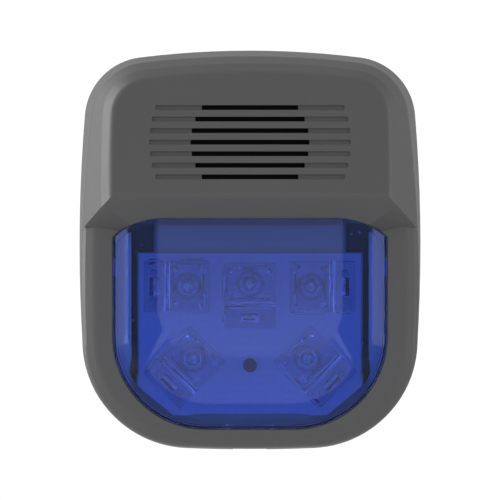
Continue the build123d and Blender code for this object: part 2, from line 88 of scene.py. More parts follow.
def add_node(tree, kind, settings=None, **inputs):
    """A shader node with its settings, and its inputs set to a value or linked to a socket."""
    made = tree.nodes.new(kind)
    for key, value in (settings or {}).items():
        setattr(made, key, value)
    for key, value in inputs.items():
        plug = made.inputs[int(key[1:]) if key[0] == "_" else key.replace("_", " ")]
        if isinstance(value, bpy.types.NodeSocket):
            tree.links.new(value, plug)
        else:
            plug.default_value = value
    return made


FILL_Y = -1.2
UPPER_Z, LOWER_Z = -0.065, -0.205
upper_fill = softbox("upper_fill", (0.0, FILL_Y, UPPER_Z), (0.46, 0.19), 2.1, aim=(0.0, 0.0, UPPER_Z))
softbox("lower_fill", (0.0, FILL_Y, LOWER_Z), (0.46, 0.08), 1.3, aim=(0.0, 0.0, LOWER_Z))
upper_fill.use_nodes = True
fading = upper_fill.node_tree
level = add_node(fading, "ShaderNodeNewGeometry").outputs["Position"]
level = add_node(fading, "ShaderNodeSeparateXYZ", _0=level).outputs["Z"]
faded = add_node(fading, "ShaderNodeMapRange", Value=level, From_Min=-0.06, From_Max=0.02,
                 To_Min=1.0, To_Max=0.4).outputs[0]
fading.links.new(faded, fading.nodes["Emission"].inputs["Strength"])

WHITE = (1.0, 1.0, 1.0, 1.0)
world = bpy.data.worlds.new("white_room")
bpy.context.scene.world = world
world.use_nodes = True
room = world.node_tree
room.nodes.clear()
backdrop = add_node(room, "ShaderNodeBackground", Color=WHITE, Strength=1.05)
ambient = add_node(room, "ShaderNodeBackground", Color=WHITE, Strength=0.63)
seen = add_node(room, "ShaderNodeLightPath").outputs["Is Camera Ray"]
either = add_node(room, "ShaderNodeMixShader", _0=seen, _1=ambient.outputs[0],
                  _2=backdrop.outputs[0])
add_node(room, "ShaderNodeOutputWorld", Surface=either.outputs[0])

FLOOR_PLACE = (0.0, -0.5, -0.25)
floor_mesh = bpy.data.meshes.new("floor")
sheet = bmesh.new()
bmesh.ops.create_grid(sheet, x_segments=1, y_segments=1, size=4.0, matrix=Matrix.Translation(FLOOR_PLACE))
sheet.to_mesh(floor_mesh)
sheet.free()
floor = bpy.data.objects.new("floor", floor_mesh)
bpy.context.scene.collection.objects.link(floor)
floor_paint = bpy.data.materials.new("floor_paint")
floor_paint.use_nodes = True
floor_tree = floor_paint.node_tree
paint = floor_tree.nodes["Principled BSDF"]
paint.inputs["Base Color"].default_value = (0.78, 0.78, 0.78, 1.0)
paint.inputs["Roughness"].default_value = 0.8
underside = add_node(floor_tree, "ShaderNodeNewGeometry").outputs["Backfacing"]
open_below = add_node(floor_tree, "ShaderNodeBsdfTransparent").outputs[0]
floor_side = add_node(floor_tree, "ShaderNodeMixShader", _0=underside, _1=paint.outputs[0],
                      _2=open_below)
floor_tree.links.new(floor_side.outputs[0], floor_tree.nodes["Material Output"].inputs["Surface"])
floor_mesh.materials.append(floor_paint)

# ---- Mounting plate -----------------------------------------------------------------------
# The plate that is screwed to the wall box, injection moulded in grey polycarbonate. Its
# spark-eroded grain, faint clouding and light handling scuffs are shared by every moulding.


def texture_group(name, inputs, outputs=("Colour", "Roughness", "Height")):
    """An empty shader node group with named sockets, and its input and output nodes."""
    group = bpy.data.node_groups.new(name, "ShaderNodeTree")
    for label, value in inputs.items():
        kind = "NodeSocketColor" if isinstance(value, tuple) else "NodeSocketFloat"
        socket = group.interface.new_socket(name=label, in_out="INPUT", socket_type=kind)
        socket.default_value = value
    for label in outputs:
        kind = "NodeSocketColor" if label == "Colour" else "NodeSocketFloat"
        group.interface.new_socket(name=label, in_out="OUTPUT", socket_type=kind)
    return group, group.nodes.new("NodeGroupInput").outputs, group.nodes.new("NodeGroupOutput").inputs


def maths(tree, operation, first, second, third=0.0):
    """One arithmetic step on two or three sockets or numbers."""
    step = add_node(tree, "ShaderNodeMath", {"operation": operation}, _0=first, _1=second, _2=third)
    return step.outputs[0]


def mixed(tree, share, first, second):
    """Two colours mixed by a share."""
    step = add_node(tree, "ShaderNodeMix", {"data_type": "RGBA"}, _0=share, _6=first, _7=second)
    return step.outputs[2]


def scaled(tree, colour, by):
    """A colour made lighter or darker by a value."""
    step = add_node(tree, "ShaderNodeVectorMath", {"operation": "SCALE"}, _0=colour, Scale=by)
    return step.outputs[0]


def noise(tree, where, scale, detail=3.0, rough=0.55):
    """Cloudy noise between 0 and 1."""
    cloud = add_node(tree, "ShaderNodeTexNoise", Vector=where, Scale=scale, Detail=detail,
                     Roughness=rough)
    return cloud.outputs[0]


def centred(tree, value):
    """A 0 to 1 value moved to lie around 0."""
    return maths(tree, "SUBTRACT", value, 0.5)


def stretched(tree, where, scale, turn=(0.0, 0.0, 0.0)):
    """Coordinates stretched and turned, for brushing and for patterns on an upright face."""
    return add_node(tree, "ShaderNodeMapping", Vector=where, Scale=scale, Rotation=turn).outputs[0]


moulded, given, result = texture_group("moulded_grain", {
    "Colour": (0.1, 0.1, 0.1, 1.0), "Grain": 3000.0, "Mottle": 0.1, "Scuffs": 0.06,
    "Roughness": 0.46, "Spread": 0.12})
where = add_node(moulded, "ShaderNodeTexCoord").outputs["Object"]
fine = noise(moulded, where, given["Grain"], 3.0, 0.6)
pits = add_node(moulded, "ShaderNodeTexVoronoi", {"feature": "SMOOTH_F1"}, Vector=where,
                Scale=given["Grain"], Smoothness=0.6).outputs["Distance"]
cloud = noise(moulded, where, 55.0, 4.0)
uneven = maths(moulded, "ADD", centred(moulded, cloud), centred(moulded, fine))
streak = noise(moulded, stretched(moulded, where, (70.0, 70.0, 900.0), (0.0, 0.5, 0.3)), 1.0, 5.0, 0.7)
rubbed = add_node(moulded, "ShaderNodeMapRange", Value=streak, From_Min=0.60, From_Max=0.74).outputs[0]
rubbed = maths(moulded, "MULTIPLY", rubbed, given["Scuffs"])
shade = maths(moulded, "MULTIPLY_ADD", uneven, given["Mottle"], 1.0)
shade = maths(moulded, "ADD", shade, rubbed)
tone = scaled(moulded, given["Colour"], shade)
rough = maths(moulded, "MULTIPLY_ADD", uneven, given["Spread"], given["Roughness"])
moulded.links.new(tone, result["Colour"])
moulded.links.new(maths(moulded, "SUBTRACT", rough, rubbed), result["Roughness"])
moulded.links.new(maths(moulded, "ADD", fine, pits), result["Height"])


def finish(name, group, values, bump=0.1, bump_size=0.0001, **plain):
    """A Principled material fed by one texture group, with plain values on its own sockets."""
    material = bpy.data.materials.new(name)
    material.use_nodes = True
    tree = material.node_tree
    shader = tree.nodes["Principled BSDF"]
    for key, value in plain.items():
        shader.inputs[key.replace("_", " ")].default_value = value
    texture = add_node(tree, "ShaderNodeGroup", {"node_tree": group})
    for key, value in values.items():
        texture.inputs[key].default_value = value
    tree.links.new(texture.outputs["Colour"], shader.inputs["Base Color"])
    tree.links.new(texture.outputs["Roughness"], shader.inputs["Roughness"])
    lift = add_node(tree, "ShaderNodeBump", Strength=bump, Distance=bump_size,
                    Height=texture.outputs["Height"])
    tree.links.new(lift.outputs[0], shader.inputs["Normal"])
    return material


def dress(material, *nodes):
    """Gives CAD nodes this material in all their slots."""
    for node in nodes:
        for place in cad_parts[node].material_slots:
            place.material = material


plate_plastic = finish("plate_plastic", moulded, {
    "Colour": (0.16, 0.162, 0.165, 1.0), "Grain": 2400.0, "Scuffs": 0.10, "Roughness": 0.5}, bump=0.15)
dress(plate_plastic, "mounting_plate")

# ---- Lock screw, its washer and its brass bush --------------------------------------------
# The one screw that keeps the head shut, driven up from below. Zinc-plated steel with a
# rolled thread, a turned washer that stays on it, and a knurled bush pressed into the plate.
MM = 0.001
FORWARD = Matrix.Rotation(math.radians(90.0), 4, "X")
UPWARD = Matrix.Identity(4)


def at(x, depth, z):
    """A point in metres, from millimetres across, out from the wall and up."""
    return Vector((x, -depth, z)) * MM


def turned(shape, profile, middle, facing=FORWARD, steps=32, angle=math.tau):
    """Adds a turned part: (radius, height) points in millimetres spun about a facing axis."""
    verts = [shape.verts.new((radius * MM, 0.0, height * MM)) for radius, height in profile]
    edges = [shape.edges.new(pair) for pair in zip(verts, verts[1:])]
    before = set(shape.verts) - set(verts)
    bmesh.ops.spin(shape, geom=verts + edges, cent=(0.0, 0.0, 0.0), axis=(0.0, 0.0, 1.0),
                   angle=angle, steps=steps, use_merge=True)
    made = [v for v in shape.verts if v not in before]
    bmesh.ops.remove_doubles(shape, verts=made, dist=1e-7)
    made = [v for v in shape.verts if v not in before]
    bmesh.ops.transform(shape, matrix=Matrix.Translation(middle) @ facing, verts=made)
    return made


def coil(shape, section, middle, facing, turns, pitch, steps=24):
    """Adds a helix: a closed (radius, height) section swept round and up, its ends closed."""
    before = set(shape.verts)
    verts = [shape.verts.new((radius * MM, 0.0, height * MM)) for radius, height in section]
    end = shape.faces.new(verts)
    bmesh.ops.spin(shape, geom=[end], cent=(0.0, 0.0, 0.0), axis=(0.0, 0.0, 1.0),
                   dvec=(0.0, 0.0, pitch * MM / steps), angle=math.tau * turns,
                   steps=round(turns * steps))
    made = [v for v in shape.verts if v not in before]
    bmesh.ops.transform(shape, matrix=Matrix.Translation(middle) @ facing, verts=made)
    ends = [e for e in shape.edges if e.is_boundary and e.verts[0] in set(made)]
    bmesh.ops.holes_fill(shape, edges=ends, sides=0)
    return made


def cross(arm, half):
    """Outline of a cross recess with arms of this reach and half width."""
    quarter = [(arm, -half), (arm, half), (half, half)]
    points = []
    for turn in range(4):
        angle = turn * math.pi / 2.0
        c, s = math.cos(angle), math.sin(angle)
        points += [(x * c - y * s, x * s + y * c) for x, y in quarter]
    return points


def recess(shape, outline, radius, level, floor_level, middle, facing=FORWARD):
    """Closes a turned part's open top with a flat ring round a sunk outline."""
    local = Matrix.Translation(middle) @ facing
    verts = [shape.verts.new(local @ Vector((x * MM, y * MM, level * MM))) for x, y in outline]
    loop = [shape.edges.new(pair) for pair in zip(verts, verts[1:] + verts[:1])]
    centre = local @ Vector((0.0, 0.0, level * MM))
    rim = [e for e in shape.edges if e.is_boundary and e not in loop
           and all(abs((v.co - centre).length - radius * MM) < 2e-5 for v in e.verts)]
    bmesh.ops.triangle_fill(shape, edges=loop + rim, use_beauty=True)
    walls = bmesh.ops.extrude_edge_only(shape, edges=loop)["geom"]
    low = {g for g in walls if isinstance(g, bmesh.types.BMVert)}
    sink = facing.to_3x3() @ Vector((0.0, 0.0, (floor_level - level) * MM))
    bmesh.ops.translate(shape, verts=list(low), vec=sink)
    bottom = [g for g in walls if isinstance(g, bmesh.types.BMEdge) and low.issuperset(g.verts)]
    bmesh.ops.contextual_create(shape, geom=bottom)


def piece(name, shape, material, body, slot, *stands_for):
    """Makes the finished shape an object that rides on its body in place of its CAD nodes."""
    mesh = bpy.data.meshes.new(name)
    shape.to_mesh(mesh)
    shape.free()
    mesh.materials.append(material)
    mesh.polygons.foreach_set("use_smooth", [True] * len(mesh.polygons))
    mesh.set_sharp_from_angle(angle=math.radians(34.0))
    made = bpy.data.objects.new(name, mesh)
    bpy.context.scene.collection.objects.link(made)
    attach(made, body)
    if stands_for:
        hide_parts(*stands_for)
    return made


def outward(shape):
    """Turns every face of a closed shape outwards."""
    bmesh.ops.recalc_face_normals(shape, faces=list(shape.faces))


metal, given, result = texture_group("worked_metal", {
    "Colour": (0.6, 0.6, 0.6, 1.0), "Tarnish": (0.3, 0.27, 0.22, 1.0), "Amount": 0.35,
    "Brush": 900.0, "Roughness": 0.3})
where = add_node(metal, "ShaderNodeTexCoord").outputs["Object"]
lines = noise(metal, stretched(metal, where, (1.0, 0.12, 1.0)), given["Brush"], 4.0, 0.7)
stain = noise(metal, where, 420.0, 5.0, 0.6)
stained = add_node(metal, "ShaderNodeMapRange", Value=stain, From_Min=0.42, From_Max=0.72).outputs[0]
stained = maths(metal, "MULTIPLY", stained, given["Amount"])
metal.links.new(mixed(metal, stained, given["Colour"], given["Tarnish"]), result["Colour"])
rough = maths(metal, "MULTIPLY_ADD", centred(metal, lines), 0.18, given["Roughness"])
metal.links.new(maths(metal, "MULTIPLY_ADD", stained, 0.35, rough), result["Roughness"])
metal.links.new(lines, result["Height"])

plated_steel = finish("plated_steel", metal, {
    "Colour": (0.62, 0.62, 0.60, 1.0), "Tarnish": (0.36, 0.34, 0.30, 1.0)},
    bump=0.2, bump_size=0.00003, Metallic=1.0)
brass = finish("turned_brass", metal, {
    "Colour": (0.72, 0.50, 0.20, 1.0), "Tarnish": (0.30, 0.18, 0.07, 1.0), "Roughness": 0.28},
    bump=0.2, bump_size=0.00003, Metallic=1.0)

LOCK_DEPTH = 7.5
lock_axis = at(0.0, LOCK_DEPTH, 0.0)
shape = bmesh.new()
turned(shape, [(2.5, -70.1), (2.9, -70.02), (3.12, -69.8), (3.2, -69.5), (3.2, -68.25), (3.1, -68.1),
               (1.72, -68.1), (1.72, -66.9), (1.46, -66.5), (1.46, -57.9), (1.1, -57.5), (0.0, -57.5)],
       lock_axis, UPWARD)
recess(shape, cross(1.75, 0.34), 2.5, -70.1, -69.1, lock_axis, UPWARD)
outward(shape)
thread = bmesh.new()
coil(thread, [(1.40, -66.4), (1.74, -66.16), (1.74, -66.08), (1.40, -65.84)], lock_axis, UPWARD,
     turns=11.0, pitch=0.7)
outward(thread)
thread_mesh = bpy.data.meshes.new("thread")
thread.to_mesh(thread_mesh)
thread.free()
shape.from_mesh(thread_mesh)
bpy.data.meshes.remove(thread_mesh)
piece("captive_lock_screw", shape, plated_steel, "lock_screw", "screw_steel", "lock_screw")

shape = bmesh.new()
turned(shape, [(1.8, -67.8), (3.65, -67.8), (3.8, -67.65), (3.8, -66.95), (3.65, -66.8), (1.8, -66.8),
               (1.8, -67.8)], lock_axis, UPWARD, steps=40)
outward(shape)
piece("retaining_washer", shape, plated_steel, "lock_washer", "screw_steel", "lock_washer")

BUSH_FLUTES = 30
BUSH_BAND = 2.8
FLUTE_DEPTH = 0.16
shape = bmesh.new()
turned(shape, [(1.8, -63.6), (2.7, -63.6), (2.88, -63.4), (2.88, -62.5), (2.6, -62.4), (2.6, -61.9),
               (2.88, -61.8), (2.88, -60.8), (2.7, -60.6), (1.8, -60.6), (1.8, -63.6)],
       lock_axis, UPWARD, steps=BUSH_FLUTES * 2)
for vert in shape.verts:
    side = Vector((vert.co.x, vert.co.y + LOCK_DEPTH * MM, 0.0))
    flute = round(math.atan2(side.y, side.x) / math.tau * BUSH_FLUTES * 2)
    if side.length > BUSH_BAND * MM and flute % 2:
        vert.co -= side.normalized() * FLUTE_DEPTH * MM
outward(shape)
piece("knurled_bush", shape, brass, "plate", "brass", "lock_insert")

# ---- Terminal block -----------------------------------------------------------------------
# Four rising-cage wire terminals in one black moulding on the plate. Tinned copper bars end
# in spring leaves for the head's pins, and a slotted steel screw lifts each cage.
terminal_plastic = finish("terminal_plastic", moulded, {
    "Colour": (0.022, 0.022, 0.024, 1.0), "Grain": 4200.0, "Mottle": 0.3, "Roughness": 0.38}, bump=0.12)
tinned_copper = finish("tinned_copper", metal, {
    "Colour": (0.70, 0.69, 0.66, 1.0), "Tarnish": (0.42, 0.38, 0.34, 1.0), "Brush": 1500.0,
    "Roughness": 0.34}, bump=0.2, bump_size=0.00003, Metallic=1.0)
dress(terminal_plastic, "terminal_block", "link_header")
dress(tinned_copper, "plate_contacts", "contact_pins", *("terminal_clamp_%d" % n for n in (1, 2, 3, 4)))

TERMINAL_X = (-13.5, -4.5, 4.5, 13.5)
TERMINAL_Z = -17.0
for number, x in enumerate(TERMINAL_X, 1):
    shape = bmesh.new()
    middle = at(x, 0.0, TERMINAL_Z)
    turned(shape, [(1.85, 12.0), (2.1, 11.9), (2.2, 11.7), (2.2, 10.6), (2.05, 10.4), (1.18, 10.4),
                   (1.18, 10.1), (0.98, 9.9), (0.98, 8.2), (0.75, 7.96), (0.0, 7.96)], middle, steps=28)
    recess(shape, [(1.6, -0.33), (1.6, 0.33), (-1.6, 0.33), (-1.6, -0.33)], 1.85, 12.0, 11.2, middle)
    coil(shape, [(0.94, 8.3), (1.17, 8.47), (0.94, 8.64)], middle, FORWARD, 3.5, 0.42, 20)
    outward(shape)
    piece("clamp_screw_%d" % number, shape, plated_steel, "terminal_screw_%d" % number, "screw_steel",
          "terminal_screw_%d" % number)

# ---- Front housing ------------------------------------------------------------------------
# The one-piece shell of the head, injection moulded in dark grey polycarbonate with a fine
# matt texture. It keeps its solid's shape; four screws join it to the rear cover.
housing_plastic = finish("housing_plastic", moulded, {
    "Colour": (0.085, 0.085, 0.087, 1.0), "Grain": 3000.0, "Mottle": 0.08, "Scuffs": 0.03},
    bump=0.10, bump_size=0.00008)
dress(housing_plastic, "front_housing")

# ---- Grille screen ------------------------------------------------------------------------
# Black woven polyester against the back of the grille that keeps dust off the sounder. The
# weave is fine enough that it reads as cloth only close up.
weave, given, result = texture_group("open_weave", {
    "Colour": (0.01, 0.01, 0.01, 1.0), "Threads": 1400.0})
where = add_node(weave, "ShaderNodeTexCoord").outputs["Object"]
warp, weft = (add_node(weave, "ShaderNodeTexWave", {"bands_direction": way}, Vector=where,
                       Scale=given["Threads"], Distortion=0.4, Detail=1.0).outputs["Fac"] for way in "XZ")
over = maths(weave, "MAXIMUM", warp, weft)
lit = scaled(weave, given["Colour"], maths(weave, "MULTIPLY_ADD", over, 1.2, 0.3))
weave.links.new(lit, result["Colour"])
weave.links.new(maths(weave, "MULTIPLY_ADD", over, -0.15, 0.9), result["Roughness"])
weave.links.new(over, result["Height"])
screen_cloth = finish("screen_cloth", weave, {"Colour": (0.004, 0.004, 0.0045, 1.0)}, bump=0.5,
                      bump_size=0.0002, Specular_IOR_Level=0.15)
dress(screen_cloth, "grille_screen")

# ---- Lens ---------------------------------------------------------------------------------
# Blue polycarbonate moulding that is trapped behind the ring of the housing: steep flanks, a
# rounded shoulder and a flat raised middle, polished, with faint flow marks.
clear, given, result = texture_group("clear_moulding", {
    "Colour": (0.9, 0.9, 0.9, 1.0), "Haze": 0.03, "Flow": 0.03})
where = add_node(clear, "ShaderNodeTexCoord").outputs["Object"]
flow = noise(clear, stretched(clear, where, (1.0, 1.0, 0.35)), 60.0, 3.0)
smear = noise(clear, where, 140.0, 5.0, 0.65)
drift = maths(clear, "MULTIPLY_ADD", centred(clear, flow), given["Flow"], 1.0)
tint = scaled(clear, given["Colour"], drift)
clear.links.new(tint, result["Colour"])
clear.links.new(maths(clear, "MULTIPLY", smear, given["Haze"]), result["Roughness"])
clear.links.new(maths(clear, "ADD", flow, maths(clear, "MULTIPLY", smear, 0.1)), result["Height"])


def see_through(material, lamp_tint):
    """Lets lamp light through a clear moulding, tinted, instead of casting a solid shadow."""
    tree = material.node_tree
    straight = add_node(tree, "ShaderNodeBsdfTransparent", Color=lamp_tint)
    shadow = add_node(tree, "ShaderNodeLightPath").outputs["Is Shadow Ray"]
    either = add_node(tree, "ShaderNodeMixShader", _0=shadow,
                      _1=tree.nodes["Principled BSDF"].outputs[0], _2=straight.outputs[0])
    tree.links.new(either.outputs[0], tree.nodes["Material Output"].inputs["Surface"])


lens_plastic = finish("lens_plastic", clear, {"Colour": (0.18, 0.30, 0.80, 1.0), "Haze": 0.05},
                      bump=0.01, bump_size=0.0001, IOR=1.30, Transmission_Weight=1.0)
see_through(lens_plastic, (0.43, 0.535, 0.94, 1.0))
dress(lens_plastic, "lens")

# ---- Light tray ---------------------------------------------------------------------------
# Grey moulded tray behind the lens with a shelf above the board and open gaps beside it. Its
# outer lip under the lens flanks is painted paler: a painted highlight that brightens the
# crescents of light mirrored in the flanks. It hangs on two plated screws in the housing.
tray_plastic = finish("tray_plastic", moulded, {
    "Colour": (0.48, 0.53, 0.38, 1.0), "Grain": 2600.0, "Mottle": 0.06, "Roughness": 0.42}, bump=0.1)
LIP_INSIDE, LIP_OUTSIDE = 0.0415, 0.0425
# Painted highlight: the paler colour of the lip band stands in for the crescents of light on the lens
# flanks.
LIP_PAINTED_HIGHLIGHT = (0.62, 0.86, 0.80, 1.0)
tray_tree = tray_plastic.node_tree
tray_paint = tray_tree.nodes["Principled BSDF"].inputs["Base Color"]
where = add_node(tray_tree, "ShaderNodeTexCoord").outputs["Object"]
across = add_node(tray_tree, "ShaderNodeSeparateXYZ", _0=where).outputs["X"]
painted_highlight_share = add_node(tray_tree, "ShaderNodeMapRange", Value=maths(tray_tree, "ABSOLUTE", across, 0.0),
                  From_Min=LIP_INSIDE, From_Max=LIP_OUTSIDE).outputs[0]
tray_with_painted_highlight = mixed(tray_tree, painted_highlight_share, tray_paint.links[0].from_socket, LIP_PAINTED_HIGHLIGHT)
tray_tree.links.new(tray_with_painted_highlight, tray_paint)
dress(tray_plastic, "light_tray")
dress(plated_steel, "tray_screws", "cover_screws", "board_screws")

# ---- LED board ----------------------------------------------------------------------------
# Aluminium-backed board with white solder mask, held by one blue-black screw. Five white
# emitters with a pale phosphor dome sit on it under the optics.
board_face, given, result = texture_group("circuit_board", {
    "Mask": (0.02, 0.12, 0.05, 1.0), "Copper": (0.05, 0.22, 0.08, 1.0), "Pads": (0.6, 0.58, 0.5, 1.0),
    "Tracks": 300.0, "Strength": 1.0, "Pad size": 0.16})
where = add_node(board_face, "ShaderNodeTexCoord").outputs["Object"]
flat = stretched(board_face, where, (1.0, 1.0, 1.0), (math.radians(90.0), 0.0, 0.0))
turned_flat = stretched(board_face, flat, (1.0, 1.0, 1.0), (0.0, 0.0, math.radians(90.0)))


def tracks_along(plane, width, **layout):
    """Lines between long bricks, laid as the copper tracks of a circuit board."""
    return add_node(board_face, "ShaderNodeTexBrick", layout, Vector=plane, Scale=given["Tracks"],
                    Mortar_Size=width, Mortar_Smooth=0.1).outputs["Fac"]


long_tracks = tracks_along(flat, 0.035, offset=0.35, squash=1.6, squash_frequency=3)
cross_tracks = tracks_along(turned_flat, 0.03, offset=0.6, squash=2.2, squash_frequency=2)
patch = noise(board_face, flat, 130.0, 1.0)
here = maths(board_face, "GREATER_THAN", patch, 0.5)
tracks = maths(board_face, "MAXIMUM", maths(board_face, "MULTIPLY", long_tracks, here),
               maths(board_face, "MULTIPLY", cross_tracks, maths(board_face, "SUBTRACT", 1.0, here)))
spots = add_node(board_face, "ShaderNodeTexVoronoi", Vector=flat, Scale=given["Tracks"]).outputs["Distance"]
pads = maths(board_face, "LESS_THAN", spots, given["Pad size"])
grain = noise(board_face, where, 2500.0, 2.0)
on_track = maths(board_face, "MULTIPLY", tracks, given["Strength"])
on_pad = maths(board_face, "MULTIPLY", pads, given["Strength"])
plane = mixed(board_face, on_track, given["Mask"], given["Copper"])
plane = mixed(board_face, on_pad, plane, given["Pads"])
shaded = scaled(board_face, plane, maths(board_face, "MULTIPLY_ADD", centred(board_face, grain), 0.08, 1.0))
board_face.links.new(shaded, result["Colour"])
board_face.links.new(maths(board_face, "MULTIPLY_ADD", pads, -0.1, 0.36), result["Roughness"])
board_face.links.new(maths(board_face, "MAXIMUM", tracks, pads), result["Height"])

white_mask = finish("white_mask", board_face, {
    "Mask": (0.80, 0.80, 0.79, 1.0), "Copper": (0.74, 0.74, 0.73, 1.0), "Pads": (0.74, 0.73, 0.70, 1.0),
    "Tracks": 90.0, "Pad size": 0.05, "Strength": 0.6}, bump=0.15, bump_size=0.00005)
dress(white_mask, "led_board")
black_steel = finish("black_steel", metal, {
    "Colour": (0.04, 0.06, 0.14, 1.0), "Tarnish": (0.07, 0.09, 0.15, 1.0), "Roughness": 0.5},
    bump=0.2, bump_size=0.00003, Metallic=1.0)
dress(black_steel, "led_board_screw")

OPTICS = {"left": (-25.9, -12.9, 180.0), "lower_left": (-23.0, -41.3, 225.0),
          "centre": (0.0, -16.0, 270.0), "lower_right": (23.1, -41.1, 315.0), "right": (25.5, -12.9, 0.0)}
LED_FRONT = 25.2
LED_OUT = -4.0


def placed(where):
    """Moves a shape drawn beside the wall's middle to one optic's place and turn."""
    x, z, angle = OPTICS[where]
    return Matrix.Translation(at(x, 0.0, z)) @ Matrix.Rotation(math.radians(-angle), 4, "Y")


def block(shape, low, high, soft=0.0, rounds=2):
    """Adds a box between two (x, depth, z) corners in millimetres, its edges softened."""
    one, two = at(*low), at(*high)
    size = [abs(a - b) for a, b in zip(one, two)]
    place = Matrix.Translation((one + two) / 2.0) @ Matrix.Diagonal((*size, 1.0))
    made = bmesh.ops.create_cube(shape, size=1.0, matrix=place)["verts"]
    if soft:
        edges = list({e for v in made for e in v.link_edges})
        cut = bmesh.ops.bevel(shape, geom=edges, offset=soft * MM, affect="EDGES", segments=rounds,
                              profile=0.5, material=-1)
        made = list(set(made) & set(shape.verts)) + cut["verts"]
    return made


phosphor = finish("phosphor", moulded, {
    "Colour": (0.82, 0.76, 0.50, 1.0), "Grain": 9000.0, "Mottle": 0.25, "Roughness": 0.3}, bump=0.1)
shape = bmesh.new()
for where in OPTICS:
    fresh = block(shape, (LED_OUT - 1.75, LED_FRONT, -1.75), (LED_OUT + 1.75, 26.05, 1.75), 0.12)
    for side in (-1.0, 1.0):
        fresh += block(shape, (LED_OUT + side * 1.35 - 0.55, LED_FRONT, -1.5),
                       (LED_OUT + side * 1.35 + 0.55, LED_FRONT + 0.25, 1.5), 0.05)
    fresh += turned(shape, [(1.45, 26.0), (1.45, 26.15), (1.36, 26.45), (1.1, 26.68), (0.7, 26.84),
                            (0.3, 26.9), (0.0, 26.9)], at(LED_OUT, 0.0, 0.0), steps=28)
    bmesh.ops.transform(shape, matrix=placed(where), verts=[v for v in set(fresh) if v.is_valid])
outward(shape)
piece("emitter_packages", shape, phosphor, "head", "led_yellow", "led_emitters")

# ---- Optics -------------------------------------------------------------------------------
# Five clear acrylic optics on the LED board. Each is one moulding: a collimator block with a
# crossed hollow top over its emitter, and a lower prism step towards the edge of the lens.
clear_acrylic = finish("clear_acrylic", clear, {
    "Colour": (0.96, 0.975, 1.0, 1.0), "Haze": 0.03, "Flow": 0.02},
    bump=0.03, bump_size=0.0002, IOR=1.49, Transmission_Weight=1.0)
see_through(clear_acrylic, (0.97, 0.98, 1.0, 1.0))
OPTIC_HALF = 9.0
BLOCK_TOP = 31.2
STEP_TOP = 29.4
SIDE_OUTLINE = [(-11.5, LED_FRONT), (-11.5, BLOCK_TOP), (2.4, BLOCK_TOP), (3.9, 28.0),
                (4.9, STEP_TOP), (11.5, STEP_TOP), (11.5, LED_FRONT)]


def face_at(shape, depth, low_x, high_x):
    """The face that lies flat at this depth with its middle between two x values."""
    for face in shape.faces:
        middle = face.calc_center_median() / MM
        if abs(-middle.y - depth) < 0.05 and low_x < middle.x < high_x and abs(face.normal.y) > 0.9:
            return face


def sunk(shape, face, rim, slope, depth):
    """Sinks a face inside a flat rim, with a sloping edge."""
    for width, drop in ((rim, 0.0), (slope, -depth)):
        bmesh.ops.inset_region(shape, faces=[face], thickness=width * MM, depth=drop * MM,
                               use_even_offset=True)


def optic_body(shape, peg_side):
    """The clear block with its notch and step, crossed top, sunk step and locating peg."""
    start = shape.faces.new([shape.verts.new(at(x, depth, -OPTIC_HALF)) for x, depth in SIDE_OUTLINE])
    far = bmesh.ops.extrude_face_region(shape, geom=[start])["geom"]
    bmesh.ops.translate(shape, verts=[g for g in far if isinstance(g, bmesh.types.BMVert)],
                        vec=at(0.0, 0.0, 2.0 * OPTIC_HALF))
    outward(shape)
    sharp = [e for e in shape.edges if e.calc_length() > 3.0 * MM and e.calc_face_angle(0.0) > 0.9]
    bmesh.ops.bevel(shape, geom=sharp, offset=0.3 * MM, affect="EDGES", segments=2, profile=0.5,
                    material=-1)
    shape.normal_update()
    top = face_at(shape, BLOCK_TOP, -11.0, 2.0)
    sunk(shape, top, rim=1.3, slope=0.5, depth=0.5)
    bmesh.ops.poke(shape, faces=[top], offset=-1.6 * MM)
    shape.normal_update()
    sunk(shape, face_at(shape, STEP_TOP, 5.5, 11.0), rim=1.2, slope=0.8, depth=0.8)
    if peg_side:
        turned(shape, [(0.0, 31.15), (1.15, 31.15), (1.15, 31.9), (0.9, 32.15), (0.0, 32.15)],
               at(-9.6, 0.0, 7.2 * peg_side), steps=20)
    outward(shape)


def hollowed(shape, verts):
    """Turns a closed form inside a clear block into a hollow: its walls face inwards."""
    walls = [f for f in shape.faces if set(verts).issuperset(f.verts)]
    bmesh.ops.recalc_face_normals(shape, faces=walls)
    bmesh.ops.reverse_faces(shape, faces=walls)


def wedge(shape, low_x, high_x, low, peak, low_z, high_z):
    """Adds a ridge-shaped hollow across the block, its roof steep enough to mirror."""
    outline = [(low_x, low), ((low_x + high_x) / 2.0, peak), (high_x, low)]
    start = [shape.verts.new(at(x, depth, low_z)) for x, depth in outline]
    far = bmesh.ops.extrude_face_region(shape, geom=[shape.faces.new(start)])["geom"]
    ends = [g for g in far if isinstance(g, bmesh.types.BMVert)]
    bmesh.ops.translate(shape, verts=ends, vec=at(0.0, 0.0, high_z - low_z))
    hollowed(shape, start + ends)


